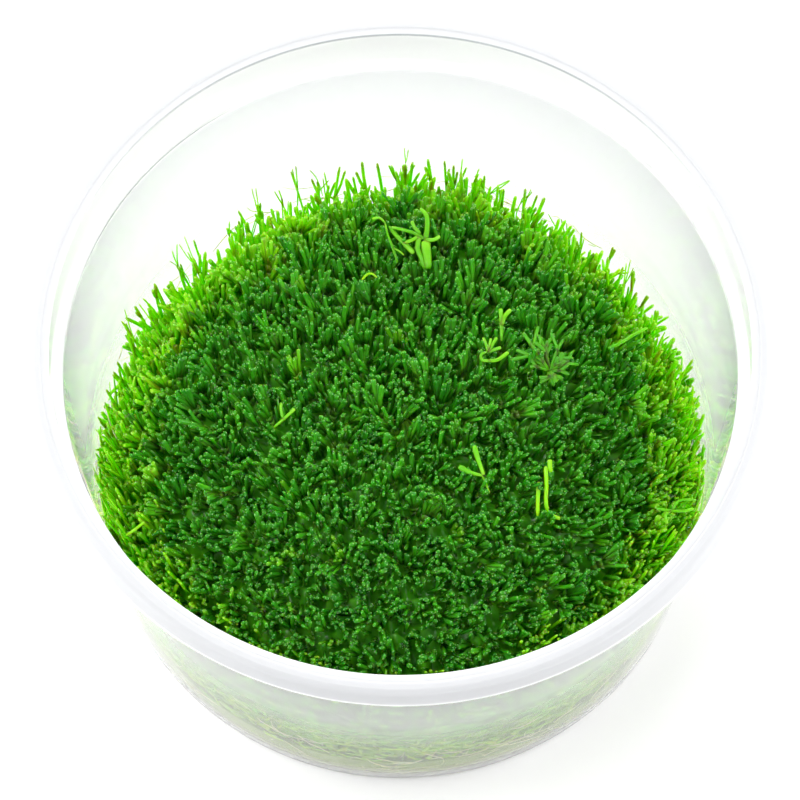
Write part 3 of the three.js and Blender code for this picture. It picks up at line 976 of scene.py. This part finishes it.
def grow_blades(growth, n, rise, halves, bend, innermost):
    """n blades. rise is how far the tips come over the margin, innermost how far in they stand."""
    angle = draw.uniform(-math.pi, math.pi, n)
    outwards = 1 - (1 - innermost) * draw.uniform(0, 1, n)
    radius = outwards * outline_radius(angle)
    x, y = radius * np.cos(angle), radius * np.sin(angle)
    clump = nearest_clump(x, y)
    tips = MARGIN_TIP_Z + rise - 6 * draw.uniform(0, 1, n) ** 1.3 + 1.2 * ripple(x, y, 8, 21)
    long = draw.uniform(8, 14, n)
    out = np.column_stack([np.cos(angle), np.sin(angle), np.zeros(n)])
    along = np.column_stack([-np.sin(angle), np.cos(angle), np.zeros(n)])
    sway = 0.1 * ripple(x, y, 7, 22) + scatter(n, 0.08)
    went = unit([0, 0, 1] + out * draw.uniform(0.1, 0.3, n)[:, None] + along * sway[:, None])
    ending = unit(went + along * scatter(n, bend)[:, None] + out * scatter(n, bend * 0.5)[:, None])
    start = at_height(x, y, tips) - unit(went + ending) * (long * 0.95)[:, None]
    path = grow(start, went, ending, long, steps=7)
    browned = between((outwards - 0.955) / 0.03, 0, 1) * draw.uniform(0.3, 1, n)
    size = draw.uniform(*halves, n) * (1 - 0.25 * browned)
    tone = between(scatter(n, 0.25) + 0.1, -1, 1)
    marks = (tone, np.ones(n), browned, clump)
    add_blades(growth, path, along, long, size, marks)
    forked = np.flatnonzero(draw.uniform(0, 1, n) < 0.7)
    where = draw.choice([2, 3, 4], len(forked))
    knee = path[forked, where]
    way = unit(path[forked, where + 1] - knee)
    aside = draw.choice([-1, 1], len(forked)) * draw.uniform(0.14, 0.3, len(forked))
    lean_off = along[forked] * aside[:, None]
    arm_long = long[forked] * (1 - where / 6) * draw.uniform(0.6, 1.05, len(forked))
    arm = grow(knee, unit(way + lean_off), unit(way + lean_off * 0.3), arm_long, steps=5)
    marks = tuple(mark[forked] for mark in marks)
    add_blades(growth, arm, along[forked], arm_long, size[forked] * 0.95, marks)


def add_blades(growth, path, across, long, size, marks):
    """Long fingers of an even width with a blunt tip."""
    tone, margin, browned, clump = marks
    steps = path.shape[1]
    path[:, -2] += (path[:, -1] - path[:, -2]) * 0.7
    path = keep_in_cup(path, clear=0.3)
    shape = np.ones(steps)
    shape[0], shape[-2], shape[-1] = 0.8, 0.9, 0.55
    wide = size[:, None] * shape
    share = 1 - np.arange(steps) / (steps - 1)
    share[-2] *= 0.3
    layers = (long[:, None] * share, tone, margin, browned)
    growth.add(path, across, wide, wide * 0.75, clump, layers, sides=5, dimple=0.03)


def grow_wall_lobes(growth):
    """Lobes that press against the wall of the cup below the margin, every way up."""
    n = WALL_LOBES
    angle = draw.uniform(-math.pi, math.pi, n)
    lowest, highest = 6.5, MARGIN_TIP_Z - 1 - SIDE_FALL - bumps(angle, FALL_SHIFTS)
    z = lowest + (highest - lowest) * draw.uniform(0, 1, n)
    radius = outline_radius(angle) - draw.uniform(0.3, 1.5, n)
    start = at_height(radius * np.cos(angle), radius * np.sin(angle), z)
    out = np.column_stack([np.cos(angle), np.sin(angle), np.zeros(n)])
    along = np.column_stack([-np.sin(angle), np.cos(angle), np.zeros(n)])
    side = along * draw.normal(0, 0.9, n)[:, None]
    went = unit(side + out * 0.25 + np.outer(draw.uniform(0.1, 1.1, n), [0, 0, 1]))
    ending = unit(went + along * scatter(n, 0.5)[:, None])
    long = draw.uniform(2.5, 6, n)
    path = keep_in_cup(grow(start, went, ending, long, steps=4), clear=0.25)
    size = draw.uniform(0.2, 0.4, n)
    wide = size[:, None] * np.array([0.8, 1.0, 1.0, 0.7])
    below = np.minimum(MARGIN_TIP_Z + 4 - path[..., 2], DEEPEST_GREEN)
    tone = between(scatter(n, 0.5), -1, 1)
    layers = (below, tone, np.ones(n))
    clump = nearest_clump(*start.T[:2])
    growth.add(path, along, wide, wide * 0.5, clump, layers, sides=4)


def grow_rhizoids(growth):
    """Pale threads that wander into the gel and along the wall at the foot of the cushion."""
    n = RHIZOIDS
    angle = draw.uniform(-math.pi, math.pi, n)
    z = 3.5 + 18 * draw.uniform(0, 1, n) ** 1.3
    radius = inner_wall(z) - 0.2 - 0.8 * draw.uniform(0, 1, n) ** 2
    start = np.column_stack([radius * np.cos(angle), radius * np.sin(angle), z])
    along = np.column_stack([-np.sin(angle), np.cos(angle), np.zeros(n)])
    along *= draw.choice([-1, 1], n)[:, None]
    went = unit(along + draw.normal(0, 0.7, (n, 3)))
    ending = unit(along + draw.normal(0, 0.9, (n, 3)))
    long = draw.uniform(3, 11, n)
    path = keep_in_cup(grow(start, went, ending, long, steps=6), clear=0.05)
    lowest = 2.6
    path[..., 2] = np.maximum(path[..., 2], lowest)
    wide = draw.uniform(0.05, 0.1, n)[:, None] * np.array([0.6, 1, 1, 1, 0.9, 0.5])
    below = np.full((n, 6), STRAW_DEPTH - 1)
    tone = between(0.2 + scatter(n, 0.4), -1, 1)
    upright = np.tile([0.0, 0.0, 1.0], (n, 1))
    layers = (below, tone, np.ones(n))
    growth.add(path, upright, wide, wide, nearest_clump(*start.T[:2]), layers, sides=3)


def drawn_path(points, steps=10):
    """A smooth path (1, steps, 3) through (x, y, height over the tips), its tip in short steps."""
    x, y, over = np.array(points).T
    places = np.column_stack([x, y, tip_height(x, y) + over])
    before, after = 2 * places[0] - places[1], 2 * places[-1] - places[-2]
    places = np.vstack([before, places, after])
    last = len(points) - 1
    t = np.append(np.linspace(0, last - 0.2, steps - 2), [last - 0.07, last - 0.001])
    i, f = t.astype(int), (t % 1)[:, None]
    a, b, c, d = (places[i + k] for k in range(4))
    path = 2 * b + (c - a) * f + (2 * a - 5 * b + 4 * c - d) * f**2 + (3 * b - a - 3 * c + d) * f**3
    return 0.5 * path[None]


def add_drawn(growth, start_half, end_half, points, margin, tone, clump, rim=0.5):
    """One strap along drawn points, flat side up, with a blunt tip and a painted highlight along its
    rims as strong as rim says.
    """
    path = drawn_path(points)
    steps = path.shape[1]
    shape = np.append(np.ones(steps - 2), [0.86, 0.45])
    shape[0] = 0.6
    wide = (np.linspace(start_half, end_half, steps) * shape)[None]
    along = path[:, -1] - path[:, 0]
    across = unit(np.cross(along, [0.0, 0.0, 1.0]))
    runs = np.linalg.norm(path[:, 1:] - path[:, :-1], axis=-1)
    below = np.append(np.cumsum(runs[:, ::-1], axis=1)[:, ::-1], [[0]], axis=1)
    layers = (below, np.array([tone]), np.array([margin]))
    strap = (path, across, wide, wide * 0.5 + 0.04, np.array([clump]), layers)
    growth.add(*strap, sides=8, dimple=TIP_NOTCH, rim=rim)


def grow_fresh_lobes(growth):
    """The rosette and the young, bright thalli that stand out of the cushion."""
    heart = np.array(ROSETTE_HEART)
    for half, tip in ROSETTE_TIPS:
        clump = nearest_clump(*np.array([[tip[0]], [tip[1]]]))[0]
        way = np.array(tip) - heart
        knee = heart + way * 0.55 + [*draw.normal(0, 0.2, 2), draw.uniform(0.3, 0.9)]
        tone = draw.uniform(0.0, 0.7)
        # rim sets the painted highlight along the straps' rims.
        looks = {"margin": 0.1, "tone": tone, "clump": clump, "rim": 0.1}
        add_drawn(growth, half * 0.75, half * 1.05, [heart, knee, tip], **looks)
        side = draw.choice([-1, 1]) * 0.38
        twin = knee + way * 0.36 + [way[1] * side, -way[0] * side, 0.1]
        fork = heart * 0.3 + knee * 0.7
        add_drawn(growth, half * 0.7, half * 0.95, [fork, knee, twin], **looks)
    for start_half, end_half, points in YOUNG_THALLI:
        clump = nearest_clump(*np.array(points[-1:]).T[:2])[0]
        add_drawn(growth, start_half, end_half, points, margin=0.9, tone=0.5, clump=clump)


def make_strays():
    tissue = crystalwort_tissue("pale_thallus_tissue", loose=True)
    for node, thalli in LOOSE_THALLI.items():
        growth = Growth()
        for start_half, end_half, points in thalli:
            tone = draw.uniform(-0.3, 0.5)
            add_drawn(growth, start_half, end_half, points, margin=1.0, tone=tone, clump=0)
        vertices, faces, attributes = growth.mesh_of(0)
        stray = new_piece(node.replace("stray_", "loose_"), vertices, faces, tissue, attributes)
        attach(stray, "root")
        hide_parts(node)


def grow_cushion():
    growth = Growth()
    grow_thalli(growth)
    grow_old_growth(growth)
    grow_understorey(growth)
    grow_margin(growth)
    grow_wall_lobes(growth)
    grow_rhizoids(growth)
    grow_fresh_lobes(growth)
    return growth


def make_cushion():
    growth = grow_cushion()
    tissue = crystalwort_tissue("crystalwort_tissue", loose=False)
    for number, node in enumerate(CLUMPS):
        vertices, faces, attributes = growth.mesh_of(number)
        clump = new_piece(node.replace("_clump", ""), vertices, faces, tissue, attributes)
        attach(clump, "root")
        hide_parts(node)


# Stage, light and camera

CAMERA_ELEVATION = 65.28  # degrees above the horizon, from the middle of the lip
CAMERA_DISTANCE = 450.0  # from the middle of the lip
FOCAL_PIXELS = 3404.0
SENSOR_WIDTH = 36.0
PHOTO_SIDE = 800.0
LIP_MIDDLE_PIXEL = (400.4, 340.8)  # where the middle of the lip stands in the photograph
FLOOR_HALF_SIDE = 3000.0
SURROUND_STRENGTH = 1.1


def make_stage():
    square = FLOOR_HALF_SIDE * np.array([[-1, -1, 0], [1, -1, 0], [1, 1, 0], [-1, 1, 0]])
    floor = new_piece("floor", square, [np.array([[0, 1, 2, 3]])], studio_floor())


def make_light(name, place, aim_z, size, power):
    """A round panel that faces the cup's axis at the height aim_z."""
    light = bpy.data.lights.new(name, "AREA")
    light.shape = "DISK"
    light.size = size * MM
    light.energy = power
    lamp = bpy.data.objects.new(name, light)
    lamp.location = Vector(place) * MM
    aim = Vector((0, 0, aim_z)) - Vector(place)
    lamp.rotation_euler = aim.to_track_quat("-Z", "Y").to_euler()
    bpy.context.scene.collection.objects.link(lamp)


def make_lights():
    world = bpy.data.worlds.new("studio_surround")
    world.use_nodes = True
    surround = world.node_tree.nodes["Background"]
    surround.inputs["Color"].default_value = (1, 1, 1, 1)
    surround.inputs["Strength"].default_value = SURROUND_STRENGTH
    bpy.context.scene.world = world
    make_light("softbox_above", place=(-140, -120, 620), aim_z=20, size=200, power=0.9)
    for side in (-1, 1):
        make_light("side_panel", place=(side * 330, 60, 150), aim_z=30, size=260, power=0.8)
    make_light("back_panel", place=(0, 380, 170), aim_z=30, size=300, power=0.8)


def make_camera():
    elevation = math.radians(CAMERA_ELEVATION)
    lip = Vector((0, 0, CUP_HEIGHT))
    back = Vector((0, -math.cos(elevation), math.sin(elevation)))
    camera = bpy.data.objects.new("camera", bpy.data.cameras.new("camera"))
    camera.data.sensor_width = SENSOR_WIDTH
    camera.data.lens = SENSOR_WIDTH * FOCAL_PIXELS / PHOTO_SIDE
    camera.location = (lip + back * CAMERA_DISTANCE) * MM
    right = Vector((1, 0, 0))
    up = back.cross(right)
    across, down = (p - PHOTO_SIDE / 2 for p in LIP_MIDDLE_PIXEL)
    aim = -back - right * across / FOCAL_PIXELS + up * down / FOCAL_PIXELS
    camera.rotation_euler = aim.to_track_quat("-Z", "Y").to_euler()
    bpy.context.scene.collection.objects.link(camera)
    bpy.context.scene.camera = camera


make_camera()
make_stage()
make_lights()
make_cup()
make_gel()
make_cushion()
make_strays()
bpy.context.scene.view_settings.view_transform = "Standard"
